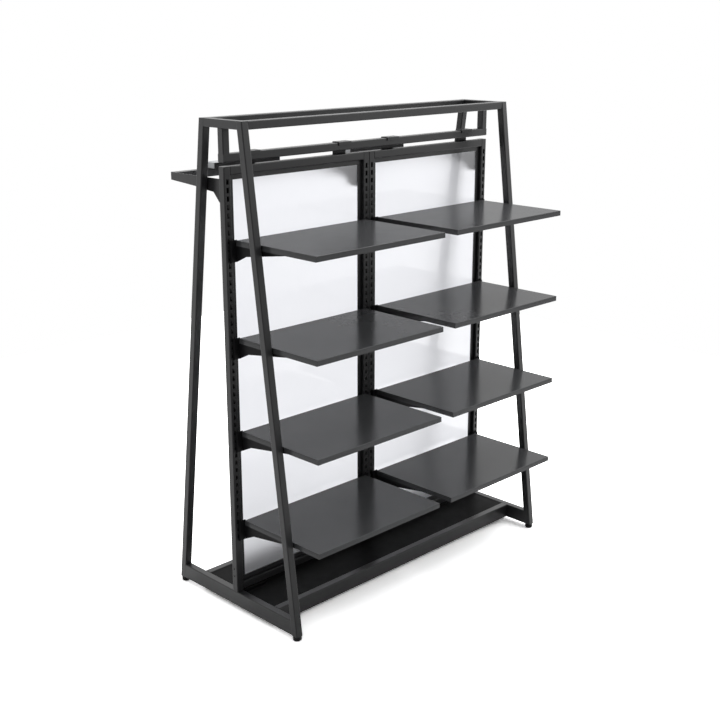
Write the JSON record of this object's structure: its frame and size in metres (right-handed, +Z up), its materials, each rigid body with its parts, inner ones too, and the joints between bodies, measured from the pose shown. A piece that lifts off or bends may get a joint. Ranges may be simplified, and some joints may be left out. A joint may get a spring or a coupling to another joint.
{
  "type": "gondola shelving unit",
  "caption": "Free-standing two-bay shelving unit: tapered tube end frames, slotted uprights, frosted back panels, hook-in shelves and rear hang rails.",
  "frame": {"origin": "on the floor, midway along the unit, in the middle plane of the slotted back frames", "axes": "+X along the row to the right seen from the shelf side, the shelves face -Y, +Z up"},
  "size_m": [1.202, 0.6694, 1.565],
  "materials": {
    "frame": "satin dark grey powder coat",
    "shelf": "satin grey powder coat",
    "panel": "frosted pale panel",
    "deck": "matte black",
    "plastic": "matte black",
    "insert": "matte pale grey"
  },
  "bodies": {
    "frame": {"end_frame_left": "frame", "end_frame_right": "frame", "top_rail_front": "frame", "top_rail_rear": "frame", "drop_frame": "frame", "stretcher_front": "frame", "stretcher_rear": "frame", "centre_rail": "deck", "deck_front": "deck", "deck_rear": "deck", "bay1_upright_left": "frame", "bay1_upright_right": "frame", "bay2_upright_left": "frame", "bay2_upright_right": "frame", "bay1_top_rail": "frame", "bay2_top_rail": "frame", "bay1_bottom_rail": "frame", "bay2_bottom_rail": "frame", "bay1_rim": "frame", "bay2_rim": "frame", "bay1_panel": "panel", "bay2_panel": "panel", "saddle_1": "frame", "saddle_2": "frame", "saddle_3": "frame", "saddle_4": "frame"},
    "bay1_brackets_1": {"bay1_bracket_left_1": "frame", "bay1_bracket_right_1": "frame"},
    "bay1_brackets_2": {"bay1_bracket_left_2": "frame", "bay1_bracket_right_2": "frame"},
    "bay1_brackets_3": {"bay1_bracket_left_3": "frame", "bay1_bracket_right_3": "frame"},
    "bay1_brackets_4": {"bay1_bracket_left_4": "frame", "bay1_bracket_right_4": "frame"},
    "bay2_brackets_1": {"bay2_bracket_left_1": "frame", "bay2_bracket_right_1": "frame"},
    "bay2_brackets_2": {"bay2_bracket_left_2": "frame", "bay2_bracket_right_2": "frame"},
    "bay2_brackets_3": {"bay2_bracket_left_3": "frame", "bay2_bracket_right_3": "frame"},
    "bay2_brackets_4": {"bay2_bracket_left_4": "frame", "bay2_bracket_right_4": "frame"},
    "bay1_shelf_1": {"bay1_board_1": "shelf"},
    "bay1_shelf_2": {"bay1_board_2": "shelf"},
    "bay1_shelf_3": {"bay1_board_3": "shelf"},
    "bay1_shelf_4": {"bay1_board_4": "shelf"},
    "bay2_shelf_1": {"bay2_board_1": "shelf"},
    "bay2_shelf_2": {"bay2_board_2": "shelf"},
    "bay2_shelf_3": {"bay2_board_3": "shelf"},
    "bay2_shelf_4": {"bay2_board_4": "shelf"},
    "bay1_hanger": {"bay1_hang_rail": "frame", "bay1_ticket_channel": "plastic", "bay1_ticket_insert": "insert"},
    "bay2_hanger": {"bay2_hang_rail": "frame", "bay2_ticket_channel": "plastic", "bay2_ticket_insert": "insert"},
    "foot_front_left": {"foot_front_left": "plastic"},
    "foot_front_right": {"foot_front_right": "plastic"},
    "foot_rear_left": {"foot_rear_left": "plastic"},
    "foot_rear_right": {"foot_rear_right": "plastic"}
  },
  "joints": [
    {"name": "bay1_bracket_lift_1", "type": "slide", "parent": "frame", "child": "bay1_brackets_1", "axis": [0, 0, 1], "range_m": [0, 0.0065]},
    {"name": "bay1_bracket_lift_2", "type": "slide", "parent": "frame", "child": "bay1_brackets_2", "axis": [0, 0, 1], "range_m": [0, 0.0065]},
    {"name": "bay1_bracket_lift_3", "type": "slide", "parent": "frame", "child": "bay1_brackets_3", "axis": [0, 0, 1], "range_m": [0, 0.0065]},
    {"name": "bay1_bracket_lift_4", "type": "slide", "parent": "frame", "child": "bay1_brackets_4", "axis": [0, 0, 1], "range_m": [0, 0.0065]},
    {"name": "bay2_bracket_lift_1", "type": "slide", "parent": "frame", "child": "bay2_brackets_1", "axis": [0, 0, 1], "range_m": [0, 0.0065]},
    {"name": "bay2_bracket_lift_2", "type": "slide", "parent": "frame", "child": "bay2_brackets_2", "axis": [0, 0, 1], "range_m": [0, 0.0065]},
    {"name": "bay2_bracket_lift_3", "type": "slide", "parent": "frame", "child": "bay2_brackets_3", "axis": [0, 0, 1], "range_m": [0, 0.0065]},
    {"name": "bay2_bracket_lift_4", "type": "slide", "parent": "frame", "child": "bay2_brackets_4", "axis": [0, 0, 1], "range_m": [0, 0.0065]},
    {"name": "bay1_board_lift_1", "type": "slide", "parent": "bay1_brackets_1", "child": "bay1_shelf_1", "axis": [0, 0, 1], "range_m": [0, 0.03]},
    {"name": "bay1_board_lift_2", "type": "slide", "parent": "bay1_brackets_2", "child": "bay1_shelf_2", "axis": [0, 0, 1], "range_m": [0, 0.03]},
    {"name": "bay1_board_lift_3", "type": "slide", "parent": "bay1_brackets_3", "child": "bay1_shelf_3", "axis": [0, 0, 1], "range_m": [0, 0.03]},
    {"name": "bay1_board_lift_4", "type": "slide", "parent": "bay1_brackets_4", "child": "bay1_shelf_4", "axis": [0, 0, 1], "range_m": [0, 0.03]},
    {"name": "bay2_board_lift_1", "type": "slide", "parent": "bay2_brackets_1", "child": "bay2_shelf_1", "axis": [0, 0, 1], "range_m": [0, 0.03]},
    {"name": "bay2_board_lift_2", "type": "slide", "parent": "bay2_brackets_2", "child": "bay2_shelf_2", "axis": [0, 0, 1], "range_m": [0, 0.03]},
    {"name": "bay2_board_lift_3", "type": "slide", "parent": "bay2_brackets_3", "child": "bay2_shelf_3", "axis": [0, 0, 1], "range_m": [0, 0.03]},
    {"name": "bay2_board_lift_4", "type": "slide", "parent": "bay2_brackets_4", "child": "bay2_shelf_4", "axis": [0, 0, 1], "range_m": [0, 0.03]},
    {"name": "bay1_hanger_lift", "type": "slide", "parent": "frame", "child": "bay1_hanger", "axis": [0, 0, 1], "range_m": [0, 0.0065]},
    {"name": "bay2_hanger_lift", "type": "slide", "parent": "frame", "child": "bay2_hanger", "axis": [0, 0, 1], "range_m": [0, 0.0065]},
    {"name": "foot_front_left_screw", "type": "slide", "parent": "frame", "child": "foot_front_left", "axis": [0, 0, -1], "range_m": [0, 0.012]},
    {"name": "foot_front_right_screw", "type": "slide", "parent": "frame", "child": "foot_front_right", "axis": [0, 0, -1], "range_m": [0, 0.012]},
    {"name": "foot_rear_left_screw", "type": "slide", "parent": "frame", "child": "foot_rear_left", "axis": [0, 0, -1], "range_m": [0, 0.012]},
    {"name": "foot_rear_right_screw", "type": "slide", "parent": "frame", "child": "foot_rear_right", "axis": [0, 0, -1], "range_m": [0, 0.012]}
  ]
}
